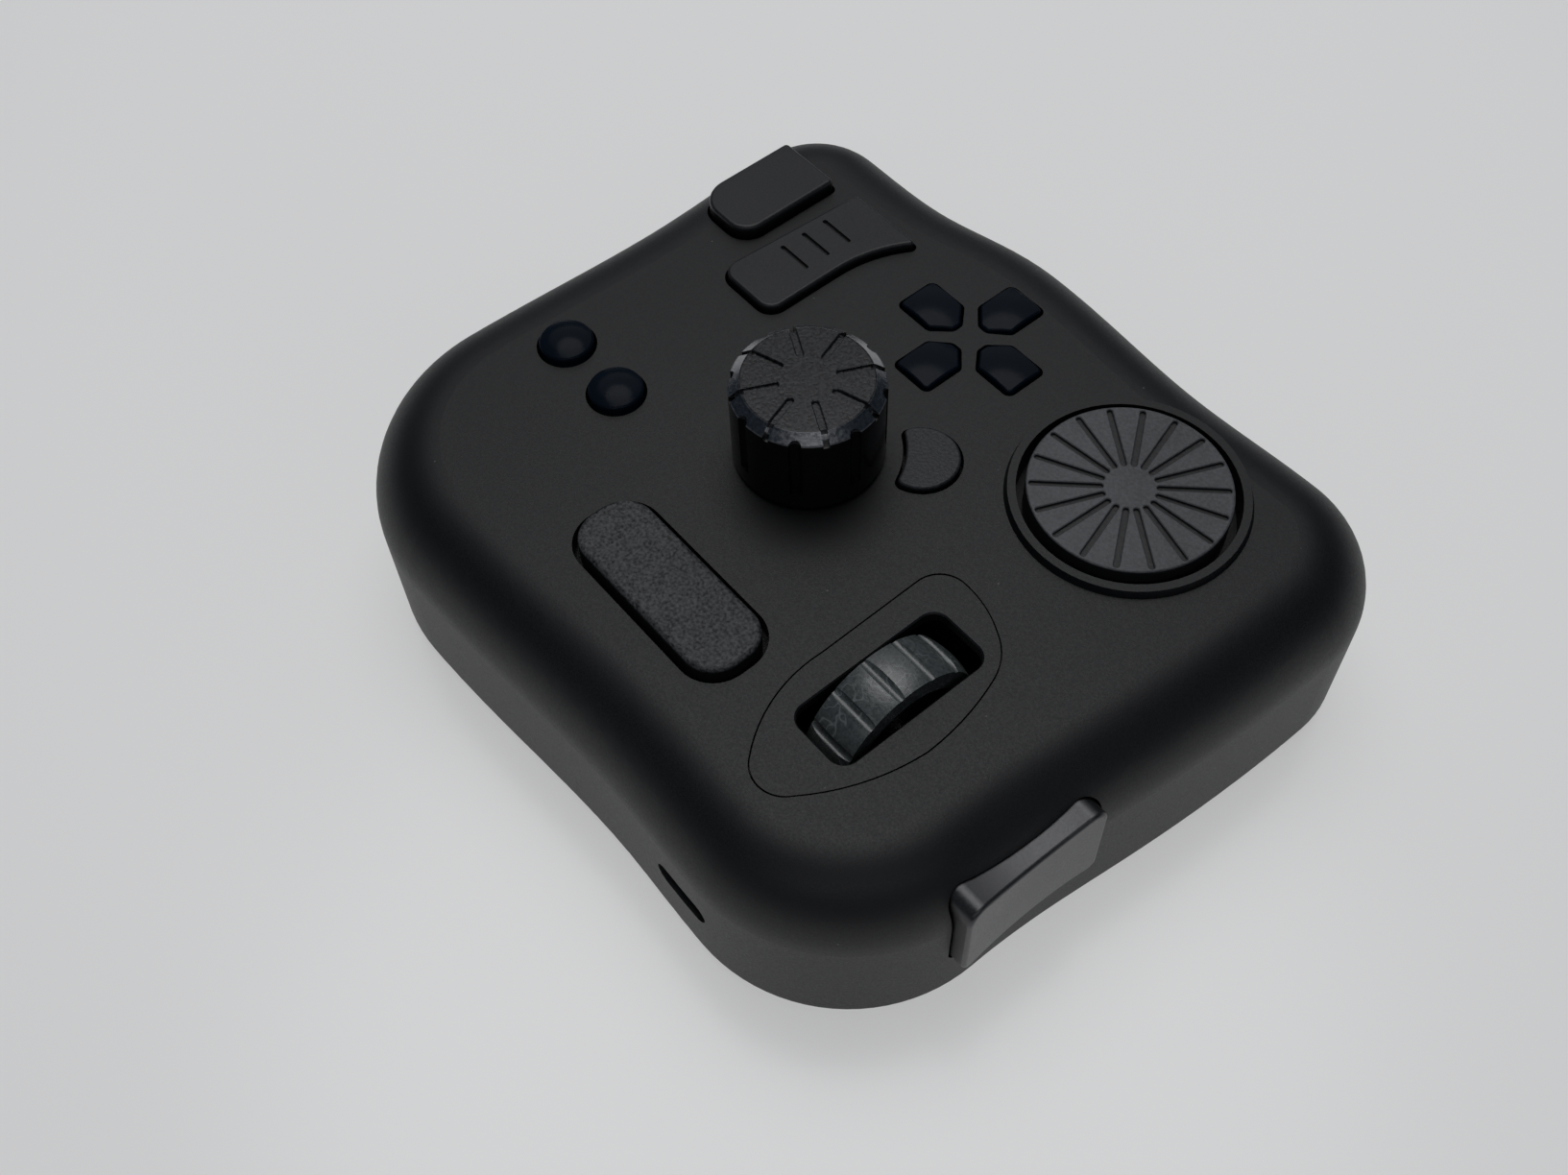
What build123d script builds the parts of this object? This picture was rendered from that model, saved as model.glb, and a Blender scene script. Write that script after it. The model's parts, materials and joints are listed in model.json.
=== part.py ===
from build123d import *
from math import cos, radians, sin
import os

# Desk controller in millimetres: +X to the user's right, +Y away from the user, +Z up,
# with the origin on the table under the middle of the case.

# Case: overall sizes, walls and rounding
body_width = 116.0
body_depth = 101.0
overall_height = 44.0
shell_top = 29.8
foot_drop = 1.2
shell_wall = 2.2
top_round = 10.5
base_round = 1.5

# Case plan: each corner is a quarter arc, drawn in from the overall box at its side and at its end
back_right_radius = 28.0
back_right_side_in = 0.4
back_left_radius = 24.0
back_left_side_in = 4.2
back_left_end_in = 1.5
front_left_radius = 17.5
front_left_end_in = 1.0
front_right_radius = 13.0
front_right_end_in = 3.9

# Case plan: waists between the corners, as a place along the side and a depth from the overall box
back_waist_x = -14.0
back_waist_in = 2.0
left_waist_y = 0.0
left_waist_in = 2.0
front_left_waist_x = -20.0
front_left_waist_in = 1.7
front_bulge_x = 9.0
front_right_waist_x = 29.0
front_right_waist_in = 3.4
right_waist_y = -13.0
right_waist_in = 1.1

# Bottom cover, feet and ballast
cover_thickness = 2.4
cover_clearance = 0.15
foot_diameter = 13.0
foot_pocket = 0.6
foot_side_in = 24.0
foot_end_in = 20.5
ballast_thickness = 6.5
ballast_left_in = 25.0
ballast_step_in = 46.0
ballast_right_in = 18.0
ballast_end_in = 16.5
ballast_step_y = -4.0
ballast_peg_diameter = 4.0
ballast_peg_clearance = 0.1
ballast_peg_points = [(20.0, 20.0), (20.0, -20.0)]

# Screws that hold the cover to the shell's bosses, drawn in from the case's side and end
boss_back_right_in = (13.4, 16.5)
boss_front_right_in = (12.0, 11.2)
boss_front_left_in = (11.2, 13.7)
boss_back_left_in = (16.4, 14.1)
boss_diameter = 7.0
boss_drop = 0.5
case_screw_diameter = 2.5
case_screw_length = 10.0
case_screw_head_diameter = 4.6
case_screw_head_height = 1.3
screw_clearance = 0.05
head_clearance = 0.3

# Main circuit board on the cover's posts
board_bottom = 17.0
board_thickness = 1.6
board_left_in = 13.0
board_right_in = 8.0
board_end_in = 8.5
board_notch_gap = 0.7
board_notch_front_gap = 3.4
board_corner = 12.0
board_hole_clearance = 0.5
post_left_in = 20.0
post_left_y = -6.0
post_right_in = 12.0
post_right_y = 0.0
post_end_x = 20.0
post_front_in = 11.5
post_back_in = 12.5
post_notch_gap = 10.5
post_diameter = 6.0
board_screw_diameter = 2.0
board_screw_length = 7.0
board_screw_head_diameter = 4.0
board_screw_head_height = 1.4
chip_centre = (20.0, -2.0)
chip_size = 9.0
chip_height = 1.0

# Tact switches and the buttons on them
switch_size = 6.2
switch_height = 3.5
switch_floor = 0.6
plunger_diameter = 3.1
plunger_clearance = 0.1
plunger_length = 2.7
stem_diameter = 5.0
button_travel = 0.8
travel_spare = 0.2
button_gap = 0.42
flange_gap = 0.8
flange_lip = 0.45
flange_thickness = 1.2

# Rows of controls, as shares of half the case's depth
pill_share = 0.5693
scroll_share = 0.3406
round_share = 0.2871
tall_share = -0.4371
short_share = -0.4891
dial_share = -0.495
pad_share = -0.5604

# Pill-shaped button beside the scroll inlay
pill_off_inlay = 4.6
pill_length = 29.6
pill_width = 10.7
pill_corner = 4.4
pill_height = 1.6
pill_edge = 0.7
pill_gap = 0.85

# Round buttons
round_right_in = 16.4
round_spacing = 11.5
round_diameter = 7.6
round_height = 2.0
round_dome = 8.0
round_edge = 0.5

# Direction buttons: each house has its blunt tip towards the pad's centre
pad_off_middle = 6.02
house_tip = 2.7
house_shoulder = 4.97
house_end = 10.95
house_width = 6.2
house_tip_width = 1.3
house_corner = 0.7
house_height = 1.0
house_dome = 16.0
house_edge = 0.35
house_switch = 7.6

# Half-round button beside the knob
half_angle = 221.9
half_reach = 14.86
half_radius = 5.15
half_hollow = 12.8
half_corner = 0.8
half_height = 0.8
half_edge = 0.35
half_switch_reach = 16.4

# Tall button with three grooves
tall_off_short = 2.45
tall_width = 10.95
tall_length = 24.45
tall_lean = 1.4
tall_flare = 3.65
tall_straight = 12.65
tall_back_corner = 2.4
tall_front_corner = 0.5
tall_height = 1.3
tall_edge = 0.5
tall_grooves = 3
tall_groove_length = 5.8
tall_groove_width = 0.7
tall_groove_depth = 0.5
tall_groove_off_x = 0.93
tall_groove_off_y = -1.12
tall_groove_pitch = 3.95

# Short button, higher than the tall one
short_right_in = 6.7
short_width = 10.85
short_length = 17.2
short_back_left_corner = 3.4
short_back_right_corner = 4.6
short_front_corner = 0.7
short_height = 2.0
short_edge = 0.6
short_flange_drop = 1.9

# Knob on a push encoder
knob_centre = (5.5, 1.1)
knob_diameter = 20.3
knob_gap = 0.8
knob_chamfer_width = 1.55
knob_chamfer_height = 1.3
knob_grooves = 8
knob_groove_start = 18.2
knob_groove_inner = 3.75
knob_groove_width = 0.85
knob_groove_depth = 0.4
knob_groove_edge = 0.12
knob_flute_diameter = 1.8
knob_flute_depth = 0.66
knob_flute_foot = 2.5
knob_bore_depth = 10.0
encoder_size = 12.0
knob_encoder_height = 6.4
shaft_diameter = 6.0
shaft_clearance = 0.05
shaft_hole_clearance = 0.5
slider_thickness = 0.7
press_travel = 0.5
press_floor_gap = 0.5
encoder_floor = 0.8

# Dial in its recess
dial_x = -27.2
dial_diameter = 26.6
dial_recess_diameter = 29.0
dial_lip_width = 1.1
dial_lip_height = 1.1
dial_lip_draft = 20.0
dial_proud = 0.9
dial_thickness = 4.8
dial_floor_gap = 1.0
dial_floor = 1.6
dial_wall = 1.2
dial_edge = 0.3
dial_grooves = 18
dial_groove_start = 6.1
dial_groove_inner = 3.4
dial_groove_outer = 12.9
dial_groove_width = 0.75
dial_groove_depth = 0.45
dial_groove_edge = 0.12
dial_bore_depth = 3.0
dial_encoder_height = 5.0

# Scroll wheel, its slot and its inlay
scroll_left_in = 29.4
scroll_axis_z = 21.8
tyre_radius = 11.3
tyre_edge_radius = 10.8
tyre_width = 7.0
tyre_grooves = 14
tyre_groove_start = 18.86
tyre_groove_radius = 0.75
tyre_groove_depth = 0.65
hub_radius = 8.2
hub_side_in = 0.4
axle_diameter = 3.0
axle_clearance = 0.05
slot_width = 9.8
slot_length = 23.7
slot_corner = 2.2
inlay_depth = 1.6
inlay_seam = 0.22
inlay_ledge = 1.5
inlay_half_width = 9.2
inlay_half_length = 18.7
inlay_right_side = [(8.9, 3.0), (9.1, -12.8)]
inlay_arcs = [
    ((8.1, -15.5), (5.5, -16.9)),
    ((1.2, -16.5), (-2.9, -14.9)),
    ((-5.4, -13.1), (-7.2, -10.2)),
    ((-9.0, -3.0), (-9.4, 2.5)),
    ((-7.3, 11.4), (-3.6, 18.2)),
    ((-0.2, 20.4), (3.4, 18.9)),
    ((7.2, 13.0), (8.9, 3.0)),
]
slot_edge = 0.2

# Scroll press cradle
arm_gap = 2.1
arm_thickness = 1.4
arm_depth = 8.0
arm_head = 3.0
cradle_plate = 1.4
cradle_depth = 15.0
guide_diameter = 2.4
guide_clearance = 0.1
guide_spacing = 10.4
guide_top = 9.8
scroll_travel = 0.6
scroll_switch_height = 2.8
scroll_plunger_length = 2.2
scroll_encoder_thickness = 2.4
scroll_encoder_size = 9.0

# Side paddle in the left wall, its switch and its upright board
paddle_length = 22.2
paddle_off_wheel = 0.7
paddle_bottom = 10.3
paddle_top = 26.1
paddle_dip = 1.7
paddle_top_corner = 2.2
paddle_bottom_corner = 1.5
paddle_face_in = 2.8
paddle_hollow_off = 1.0
paddle_hollow_radius = 90.0
paddle_edge = 0.5
paddle_gap = 0.35
paddle_flange_in = 7.8
paddle_flange_top = 21.5
paddle_switch_z = 16.5
side_board_in = 15.4
side_board_thickness = 1.6
side_board_reach_front = 23.9
side_board_reach_back = 9.1
side_board_step = 2.0
side_board_top = 22.0

# USB-C socket on its own board
usb_left_in = 31.6
usb_back_in = 2.5
usb_z = 12.2
usb_width = 8.94
usb_height = 3.2
usb_depth = 7.3
usb_skin = 0.3
usb_cavity_depth = 6.2
usb_tongue_width = 6.7
usb_tongue_thickness = 0.7
usb_tongue_in = 1.2
usb_hole_gap = 0.3
usb_board_reach_left = 7.6
usb_board_reach_right = 13.4
usb_board_back_in = 4.7
usb_board_depth = 12.3
usb_board_thickness = 1.2
usb_post_reach_left = 5.0
usb_post_reach_right = 6.4
usb_post_back_in = 13.0
usb_post_diameter = 5.0
ribbon_reach = 10.9
ribbon_back_in = 11.5
ribbon_width = 4.0
ribbon_thickness = 0.3

# Heights that follow
half_width = body_width / 2
half_depth = body_depth / 2
ceiling = shell_top - shell_wall
cover_top = foot_drop + cover_thickness
board_top = board_bottom + board_thickness
switch_top = board_top + switch_height
plunger_proud = button_travel + travel_spare
plunger_top = switch_top + plunger_proud
flange_top = ceiling - flange_gap
dial_top = shell_top + dial_lip_height + dial_proud
dial_bottom = dial_top - dial_thickness
recess_floor = dial_bottom - dial_floor_gap
knob_bottom = shell_top + knob_gap
slider_bottom = board_top + encoder_floor + press_travel + press_floor_gap
shaft_bottom = slider_bottom + slider_thickness
cradle_bottom = cover_top + scroll_switch_height + scroll_travel + travel_spare
usb_board_top = usb_z - usb_height / 2

# Places that follow: the left-hand pieces from the left wall, the right-hand keys from the right
scroll_x = -half_width + scroll_left_in
scroll_y = scroll_share * half_depth
tyre_half = tyre_width / 2
arm_inner = tyre_half + arm_gap
arm_outer = arm_inner + arm_thickness
pill_centre = (scroll_x + inlay_half_width + pill_off_inlay + pill_length / 2, pill_share * half_depth)
round_x = half_width - round_right_in
round_y = round_share * half_depth
round_centres = [(round_x, round_y), (round_x - round_spacing, round_y)]
short_right = half_width - short_right_in
short_left = short_right - short_width
short_back = short_share * half_depth + short_length / 2
short_front = short_back - short_length
short_switch = (short_left + short_width / 2, short_share * half_depth)
tall_right_back = short_left - tall_off_short
tall_right_front = tall_right_back - tall_lean
tall_left = tall_right_back - tall_width
tall_tip = tall_left - tall_flare
tall_back = tall_share * half_depth + tall_length / 2
tall_front = tall_back - tall_length
tall_flare_start = tall_back - tall_straight
tall_switch = ((tall_left + tall_right_front) / 2, tall_share * half_depth)
dial_centre = (dial_x, dial_share * half_depth)
pad_centre = ((dial_x + tall_left) / 2 + pad_off_middle, pad_share * half_depth)
paddle_middle = scroll_y + paddle_off_wheel
paddle_front = paddle_middle - paddle_length / 2
paddle_back = paddle_middle + paddle_length / 2
paddle_face_x = -half_width + paddle_face_in
paddle_hollow_y = paddle_middle + paddle_hollow_off
paddle_flange_x = -half_width + paddle_flange_in
side_board_x = -half_width + side_board_in
side_board_front = paddle_middle - side_board_reach_front
side_board_back = paddle_middle + side_board_reach_back
usb_x = -half_width + usb_left_in
usb_y = half_depth - usb_back_in
usb_board_left = usb_x - usb_board_reach_left
usb_board_right = usb_x + usb_board_reach_right
usb_board_back = half_depth - usb_board_back_in
usb_board_front = usb_board_back - usb_board_depth
usb_post_y = half_depth - usb_post_back_in
usb_post_points = [
    (usb_x - usb_post_reach_left, usb_post_y),
    (usb_x + usb_post_reach_right, usb_post_y),
]
ribbon_x = usb_x + ribbon_reach
ribbon_y = half_depth - ribbon_back_in
board_left = -half_width + board_left_in
board_right = half_width - board_right_in
board_front = -half_depth + board_end_in
board_back = half_depth - board_end_in
board_notch_x = scroll_x + arm_outer + scroll_encoder_thickness + board_notch_gap
board_notch_y = scroll_y - tyre_radius - board_notch_front_gap
post_points = [
    (-half_width + post_left_in, post_left_y),
    (half_width - post_right_in, post_right_y),
    (post_end_x, -half_depth + post_front_in),
    (post_end_x, half_depth - post_back_in),
    (board_notch_x + post_notch_gap, half_depth - post_back_in),
]
boss_points = [
    (half_width - boss_back_right_in[0], half_depth - boss_back_right_in[1]),
    (half_width - boss_front_right_in[0], -half_depth + boss_front_right_in[1]),
    (-half_width + boss_front_left_in[0], -half_depth + boss_front_left_in[1]),
    (-half_width + boss_back_left_in[0], half_depth - boss_back_left_in[1]),
]
foot_spacing_x = body_width - 2 * foot_side_in
foot_spacing_y = body_depth - 2 * foot_end_in
ballast_left = -half_width + ballast_left_in
ballast_step_x = -half_width + ballast_step_in
ballast_right = half_width - ballast_right_in
ballast_front = -half_depth + ballast_end_in
ballast_back = half_depth - ballast_end_in

os.makedirs("parts", exist_ok=True)


def save(builder, name):
    """Label a finished piece and write it."""
    builder.part.label = name
    export_step(builder.part, f"parts/{name}.step")


def case_outline(inset):
    """Plan of the case, drawn in evenly by inset: four corner arcs joined by waisted sides."""
    right = half_width - inset
    back = half_depth - inset
    back_right = (
        half_width - back_right_side_in - back_right_radius,
        half_depth - back_right_radius,
    )
    back_left = (
        -half_width + back_left_side_in + back_left_radius,
        half_depth - back_left_end_in - back_left_radius,
    )
    front_left = (
        -half_width + front_left_radius,
        -half_depth + front_left_end_in + front_left_radius,
    )
    front_right = (
        half_width - front_right_radius,
        -half_depth + front_right_end_in + front_right_radius,
    )
    bulge = (front_bulge_x, -back)
    with BuildLine() as plan:
        corner_a = CenterArc(back_right, back_right_radius - inset, 0, 90)
        corner_b = CenterArc(back_left, back_left_radius - inset, 90, 90)
        corner_c = CenterArc(front_left, front_left_radius - inset, 180, 90)
        corner_d = CenterArc(front_right, front_right_radius - inset, 270, 90)
        back_waist = (back_waist_x, back - back_waist_in)
        Spline(corner_a @ 1, back_waist, corner_b @ 0, tangents=[(-1, 0), (-1, 0)])
        left_waist = (-right + left_waist_in, left_waist_y)
        Spline(corner_b @ 1, left_waist, corner_c @ 0, tangents=[(0, -1), (0, -1)])
        front_left_waist = (front_left_waist_x, -back + front_left_waist_in)
        Spline(corner_c @ 1, front_left_waist, bulge, tangents=[(1, 0), (1, 0)])
        front_right_waist = (front_right_waist_x, -back + front_right_waist_in)
        Spline(bulge, front_right_waist, corner_d @ 0, tangents=[(1, 0), (1, 0)])
        right_waist = (right - right_waist_in, right_waist_y)
        Spline(corner_d @ 1, right_waist, corner_a @ 0, tangents=[(0, 1), (0, 1)])
    make_face(plan.edges())


def pill_outline():
    with Locations(pill_centre):
        RectangleRounded(pill_length, pill_width, pill_corner)


def round_outline(centre):
    with Locations(centre):
        Circle(round_diameter / 2)


def house_outline(angle):
    """House shape that points at the pad's centre from the given direction."""
    side = house_width / 2
    tip = house_tip_width / 2
    points = [
        (house_tip, tip),
        (house_shoulder, side),
        (house_end, side),
        (house_end, -side),
        (house_shoulder, -side),
        (house_tip, -tip),
    ]
    turn_x = cos(radians(angle))
    turn_y = sin(radians(angle))
    placed = []
    for along, across in points:
        x = pad_centre[0] + along * turn_x - across * turn_y
        y = pad_centre[1] + along * turn_y + across * turn_x
        placed.append((x, y))
    with BuildLine() as edge:
        FilletPolyline(*placed, radius=house_corner, close=True)
    make_face(edge.edges())


def polar(centre, angle, reach):
    """Point at a distance from a centre in a plan direction."""
    return (centre[0] + reach * cos(radians(angle)), centre[1] + reach * sin(radians(angle)))


def half_outline():
    """Disc with a bite that runs round the knob."""
    with Locations(polar(knob_centre, half_angle, half_reach)):
        Circle(half_radius)
    with Locations(knob_centre):
        Circle(half_hollow, mode=Mode.SUBTRACT)
    fillet(vertices(), half_corner)


def tall_outline():
    """Long key whose left side flares to a tip at the front."""
    with BuildLine() as edge:
        Polyline(
            (tall_tip, tall_front),
            (tall_right_front, tall_front),
            (tall_right_back, tall_back),
            (tall_left, tall_back),
            (tall_left, tall_flare_start),
        )
        TangentArc((tall_left, tall_flare_start), (tall_tip, tall_front), tangent=(0, -1))
    make_face(edge.edges())
    fillet(vertices().group_by(Axis.Y)[-1], tall_back_corner)
    fillet(vertices().sort_by(Axis.X)[0], tall_front_corner)


def short_outline():
    """Short key with a round back end."""
    with BuildLine() as edge:
        Polyline(
            (short_left, short_front),
            (short_right, short_front),
            (short_right, short_back),
            (short_left, short_back),
            close=True,
        )
    make_face(edge.edges())
    fillet(vertices().group_by(Axis.Y)[0], short_front_corner)
    back_corners = vertices().group_by(Axis.Y)[-1].sort_by(Axis.X)
    fillet(back_corners[-1], short_back_right_corner)
    fillet(vertices().group_by(Axis.Y)[-1].sort_by(Axis.X)[0], short_back_left_corner)


def inlay_outline(grow):
    """Egg shape around the scroll slot, grown on all sides: its right side, then arcs round it."""
    wide = 1 + grow / inlay_half_width
    long = 1 + grow / inlay_half_length

    def place(point):
        return (scroll_x + wide * point[0], scroll_y + long * point[1])

    start, end = inlay_right_side
    with BuildLine() as edge:
        Line(place(start), place(end))
        for middle, following in inlay_arcs:
            ThreePointArc(place(end), place(middle), place(following))
            end = following
    make_face(edge.edges())


def paddle_outline():
    """Paddle seen from the side, with a dip in its top edge."""
    with BuildLine() as edge:
        Polyline(
            (paddle_back, paddle_top),
            (paddle_back, paddle_bottom),
            (paddle_front, paddle_bottom),
            (paddle_front, paddle_top),
        )
        ThreePointArc(
            (paddle_front, paddle_top),
            (paddle_middle, paddle_top - paddle_dip),
            (paddle_back, paddle_top),
        )
    make_face(edge.edges())
    fillet(vertices().group_by(Axis.Y)[0], paddle_bottom_corner)
    fillet(vertices().group_by(Axis.Y)[-1], paddle_top_corner)


house_angles = {"right": 0.0, "up": 90.0, "left": 180.0, "down": 270.0}

# Every top button: its plan, gap to the shell, height over it, edge rounding, dome and switch place
buttons = {
    "pill": (pill_outline, pill_gap, pill_height, pill_edge, None, pill_centre),
    "half_round": (
        half_outline,
        button_gap,
        half_height,
        half_edge,
        None,
        polar(knob_centre, half_angle, half_switch_reach),
    ),
    "tall": (tall_outline, button_gap, tall_height, tall_edge, None, tall_switch),
    "short": (short_outline, button_gap, short_height, short_edge, None, short_switch),
}
for index, centre in enumerate(round_centres, start=1):
    buttons[f"round_{index}"] = (
        lambda spot=centre: round_outline(spot),
        button_gap,
        round_height,
        round_edge,
        round_dome,
        centre,
    )
for word, angle in house_angles.items():
    buttons[f"pad_{word}"] = (
        lambda turn=angle: house_outline(turn),
        button_gap,
        house_height,
        house_edge,
        house_dome,
        polar(pad_centre, angle, house_switch),
    )

# Inside of the case, taken out of the shell
with BuildPart() as cavity:
    with BuildSketch(Plane.XY.offset(foot_drop)):
        case_outline(shell_wall)
    extrude(amount=ceiling - foot_drop)
    fillet(cavity.faces().sort_by(Axis.Z)[-1].edges(), top_round - shell_wall)

# Top shell: one moulding with the dial's lip and recess and the screw bosses
with BuildPart() as top_shell:
    with BuildSketch(Plane.XY.offset(foot_drop)):
        case_outline(0)
    extrude(amount=shell_top - foot_drop)
    fillet(top_shell.faces().sort_by(Axis.Z)[-1].edges(), top_round)
    fillet(top_shell.faces().sort_by(Axis.Z)[0].edges(), base_round)
    add(cavity.part, mode=Mode.SUBTRACT)
    with BuildSketch(Plane.XY.offset(shell_top + dial_lip_height)):
        with Locations(dial_centre):
            Circle(dial_recess_diameter / 2 + dial_lip_width)
    extrude(amount=-dial_lip_height - shell_wall / 2, taper=-dial_lip_draft)
    with BuildSketch(Plane.XY.offset(recess_floor - dial_floor)):
        with Locations(dial_centre):
            Circle(dial_recess_diameter / 2 + dial_wall)
    extrude(amount=ceiling - recess_floor + dial_floor)
    with BuildSketch(Plane.XY.offset(recess_floor)):
        with Locations(dial_centre):
            Circle(dial_recess_diameter / 2)
    extrude(amount=overall_height - recess_floor, mode=Mode.SUBTRACT)
    with BuildSketch(Plane.XY.offset(cover_top)):
        with Locations(*boss_points):
            Circle(boss_diameter / 2)
    extrude(amount=ceiling - boss_drop - cover_top)
    with BuildSketch(Plane.XY.offset(cover_top)):
        with Locations(*boss_points):
            Circle(case_screw_diameter / 2 + screw_clearance)
    extrude(amount=case_screw_length, mode=Mode.SUBTRACT)
    with BuildSketch(Plane.XY.offset(recess_floor - dial_floor)):
        with Locations(knob_centre, dial_centre):
            Circle(shaft_diameter / 2 + shaft_hole_clearance)
    extrude(amount=overall_height - recess_floor, mode=Mode.SUBTRACT)
    for outline, gap, height, edge, dome, switch in buttons.values():
        with BuildSketch(Plane.XY.offset(ceiling - top_round / 2)):
            outline()
            offset(amount=gap)
        extrude(amount=top_round, mode=Mode.SUBTRACT)
    with BuildSketch(Plane.XY.offset(shell_top - inlay_depth)):
        inlay_outline(inlay_seam)
    extrude(amount=inlay_depth, mode=Mode.SUBTRACT)
    with BuildSketch(Plane.XY.offset(ceiling)):
        inlay_outline(-inlay_ledge)
    extrude(amount=shell_wall, mode=Mode.SUBTRACT)
    with BuildSketch(Plane.YZ.offset(-half_width)):
        paddle_outline()
        offset(amount=paddle_gap)
    extrude(amount=top_round, mode=Mode.SUBTRACT)
    with BuildSketch(Plane.XZ.offset(-half_depth)):
        with Locations((usb_x, usb_z)):
            SlotOverall(usb_width + 2 * usb_hole_gap, usb_height + 2 * usb_hole_gap)
    extrude(amount=top_round, mode=Mode.SUBTRACT)
save(top_shell, "top_shell")

# Bottom cover with foot pockets, board posts, ballast pegs and the cradle's guide pins
guide_points = [
    (scroll_x, scroll_y - guide_spacing / 2),
    (scroll_x, scroll_y + guide_spacing / 2),
]
with BuildPart() as bottom_cover:
    with BuildSketch(Plane.XY.offset(foot_drop)):
        case_outline(shell_wall + cover_clearance)
    extrude(amount=cover_thickness)
    with BuildSketch(Plane.XY.offset(foot_drop)):
        with GridLocations(foot_spacing_x, foot_spacing_y, 2, 2):
            Circle(foot_diameter / 2)
    extrude(amount=foot_pocket, mode=Mode.SUBTRACT)
    with BuildSketch(Plane.XY.offset(foot_drop)):
        with Locations(*boss_points):
            Circle(case_screw_diameter / 2 + screw_clearance)
    extrude(amount=cover_thickness, mode=Mode.SUBTRACT)
    with BuildSketch(Plane.XY.offset(foot_drop)):
        with Locations(*boss_points):
            Circle(case_screw_head_diameter / 2 + head_clearance)
    extrude(amount=case_screw_head_height, mode=Mode.SUBTRACT)
    with BuildSketch(Plane.XY.offset(cover_top)):
        with Locations(*post_points):
            Circle(post_diameter / 2)
            Circle(board_screw_diameter / 2 + screw_clearance, mode=Mode.SUBTRACT)
    extrude(amount=board_bottom - cover_top)
    with BuildSketch(Plane.XY.offset(cover_top)):
        with Locations(*ballast_peg_points):
            Circle(ballast_peg_diameter / 2)
    extrude(amount=ballast_thickness)
    with BuildSketch(Plane.XY.offset(cover_top)):
        with Locations(*usb_post_points):
            Circle(usb_post_diameter / 2)
    extrude(amount=usb_board_top - usb_board_thickness - cover_top)
    with BuildSketch(Plane.XY.offset(cover_top)):
        with Locations(*guide_points):
            Circle(guide_diameter / 2)
    extrude(amount=guide_top - cover_top)
save(bottom_cover, "bottom_cover")

with BuildPart() as rubber_feet:
    with BuildSketch():
        with GridLocations(foot_spacing_x, foot_spacing_y, 2, 2):
            Circle(foot_diameter / 2)
    extrude(amount=foot_drop + foot_pocket)
    fillet(rubber_feet.faces().group_by(Axis.Z)[0].edges(), foot_drop / 2)
save(rubber_feet, "rubber_feet")

with BuildPart() as case_screws:
    with BuildSketch(Plane.XY.offset(foot_drop)):
        with Locations(*boss_points):
            Circle(case_screw_head_diameter / 2)
    extrude(amount=case_screw_head_height)
    with BuildSketch(Plane.XY.offset(foot_drop)):
        with Locations(*boss_points):
            Circle(case_screw_diameter / 2)
    extrude(amount=case_screw_length)
save(case_screws, "case_screws")

with BuildPart() as ballast_plate:
    with BuildSketch(Plane.XY.offset(cover_top)):
        with BuildLine():
            Polyline(
                (ballast_left, ballast_front),
                (ballast_right, ballast_front),
                (ballast_right, ballast_back),
                (ballast_step_x, ballast_back),
                (ballast_step_x, ballast_step_y),
                (ballast_left, ballast_step_y),
                close=True,
            )
        make_face()
        with Locations(*ballast_peg_points):
            Circle(ballast_peg_diameter / 2 + ballast_peg_clearance, mode=Mode.SUBTRACT)
    extrude(amount=ballast_thickness)
save(ballast_plate, "ballast_plate")

# Main circuit board: notched for the scroll wheel, holed for bosses and screws
with BuildPart() as main_board:
    with BuildSketch(Plane.XY.offset(board_bottom)):
        with BuildLine():
            Polyline(
                (board_left, board_front),
                (board_right, board_front),
                (board_right, board_back),
                (board_notch_x, board_back),
                (board_notch_x, board_notch_y),
                (board_left, board_notch_y),
                close=True,
            )
        make_face()
        for corner in [
            (board_right, board_back),
            (board_right, board_front),
            (board_left, board_front),
        ]:
            fillet(vertices().sort_by_distance(corner)[0], board_corner)
        with Locations(*boss_points):
            Circle(boss_diameter / 2 + board_hole_clearance, mode=Mode.SUBTRACT)
        with Locations(*post_points):
            Circle(board_screw_diameter / 2 + screw_clearance, mode=Mode.SUBTRACT)
    extrude(amount=board_thickness)
save(main_board, "main_board")

with BuildPart() as board_screws:
    with BuildSketch(Plane.XY.offset(board_top)):
        with Locations(*post_points):
            Circle(board_screw_head_diameter / 2)
    extrude(amount=board_screw_head_height)
    with BuildSketch(Plane.XY.offset(board_top)):
        with Locations(*post_points):
            Circle(board_screw_diameter / 2)
    extrude(amount=-board_screw_length)
save(board_screws, "board_screws")

with BuildPart() as controller_chip:
    with BuildSketch(Plane.XY.offset(board_top)):
        with Locations(chip_centre):
            Rectangle(chip_size, chip_size)
    extrude(amount=chip_height)
save(controller_chip, "controller_chip")

# Tact switch housings under the top buttons
switch_points = [entry[-1] for entry in buttons.values()]
with BuildPart() as switch_housings:
    with BuildSketch(Plane.XY.offset(board_top)):
        with Locations(*switch_points):
            Rectangle(switch_size, switch_size)
    extrude(amount=switch_height)
    with BuildSketch(Plane.XY.offset(board_top + switch_floor)):
        with Locations(*switch_points):
            Circle(plunger_diameter / 2 + plunger_clearance)
    extrude(amount=switch_height - switch_floor, mode=Mode.SUBTRACT)
save(switch_housings, "switch_housings")


def make_plunger(name, centre):
    """Push rod of a tact switch, up against the button's stem."""
    with BuildPart() as plunger:
        with BuildSketch(Plane.XY.offset(plunger_top)):
            with Locations(centre):
                Circle(plunger_diameter / 2)
        extrude(amount=-plunger_length)
    save(plunger, f"{name}_plunger")


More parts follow.
